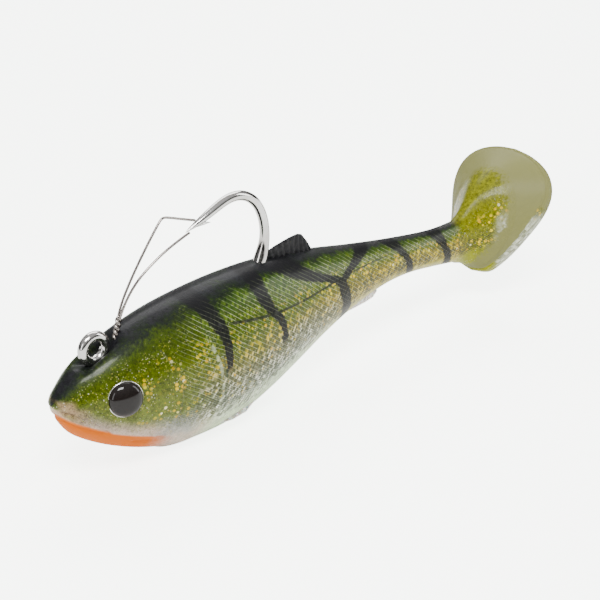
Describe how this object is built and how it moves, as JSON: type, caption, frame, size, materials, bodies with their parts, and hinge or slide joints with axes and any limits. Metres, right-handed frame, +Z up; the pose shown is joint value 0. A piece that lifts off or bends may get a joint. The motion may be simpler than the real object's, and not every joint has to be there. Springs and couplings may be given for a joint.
{
  "type": "weedless paddle-tail swimbait",
  "caption": "Soft fish-shaped fishing lure on a lead-weighted jig hook with a sprung wire weed guard, glued-on eyes and a flexing paddle tail.",
  "frame": {"origin": "middle of the bounding box's underside, on the surface that the lure stands on", "axes": "+X from the nose to the tail, +Y towards the fish's right side, +Z up towards its back"},
  "size_m": [0.141, 0.028, 0.0503],
  "materials": {
    "printed_soft_body": "soft PVC with a glittering printed perch skin under a clear coat: green back, gold flank, silver belly, black bars and an orange throat",
    "olive_soft_plastic": "smooth slightly translucent olive soft PVC",
    "black_soft_plastic": "black-tinted soft PVC",
    "clear_soft_plastic": "milky translucent soft PVC",
    "nickel_wire": "bright nickel-plated carbon steel wire",
    "cast_lead": "dull cast lead",
    "spring_wire": "bare drawn stainless spring wire",
    "holographic_foil": "metallised plastic film",
    "eye_print": "silver-rimmed printed disc",
    "eye_resin": "polished dark epoxy dome"
  },
  "bodies": {
    "front": {"trunk": "printed_soft_body", "hook": "nickel_wire", "lead_weight": "cast_lead", "guard_root": "spring_wire", "dorsal_fin": "black_soft_plastic", "flash_foil_left": "holographic_foil", "flash_foil_right": "holographic_foil", "eye_disc_left": "eye_print", "eye_disc_right": "eye_print", "eye_lens_left": "eye_resin", "eye_lens_right": "eye_resin", "pelvic_fin_left": "clear_soft_plastic", "pelvic_fin_right": "clear_soft_plastic", "waist": "printed_soft_body"},
    "rear": {"rear_body": "printed_soft_body", "anal_fin": "clear_soft_plastic", "wrist": "printed_soft_body"},
    "tail": {"tail_stalk": "printed_soft_body", "paddle": "olive_soft_plastic"},
    "guard_left": {"guard_arm_left": "spring_wire"},
    "guard_right": {"guard_arm_right": "spring_wire"}
  },
  "joints": [
    {"name": "waist_bend", "type": "hinge", "parent": "front", "child": "rear", "pos_m": [0.00146, 0, 0.0198], "axis": [0, 0, 1], "range_deg": [-18, 18], "stiffness_Nm_per_rad": 0.03, "deforming": ["waist"]},
    {"name": "wrist_bend", "type": "hinge", "parent": "rear", "child": "tail", "pos_m": [0.03946, 0, 0.018], "axis": [0, 0, 1], "range_deg": [-30, 30], "stiffness_Nm_per_rad": 0.02, "deforming": ["wrist"]},
    {"name": "guard_left_press", "type": "hinge", "parent": "front", "child": "guard_left", "pos_m": [-0.05364, 0, 0.0324], "axis": [0, 1, 0], "range_deg": [0, 28], "stiffness_Nm_per_rad": 0.01},
    {"name": "guard_right_press", "type": "hinge", "parent": "front", "child": "guard_right", "pos_m": [-0.05364, 0, 0.0324], "axis": [0, 1, 0], "range_deg": [0, 28], "stiffness_Nm_per_rad": 0.01}
  ]
}
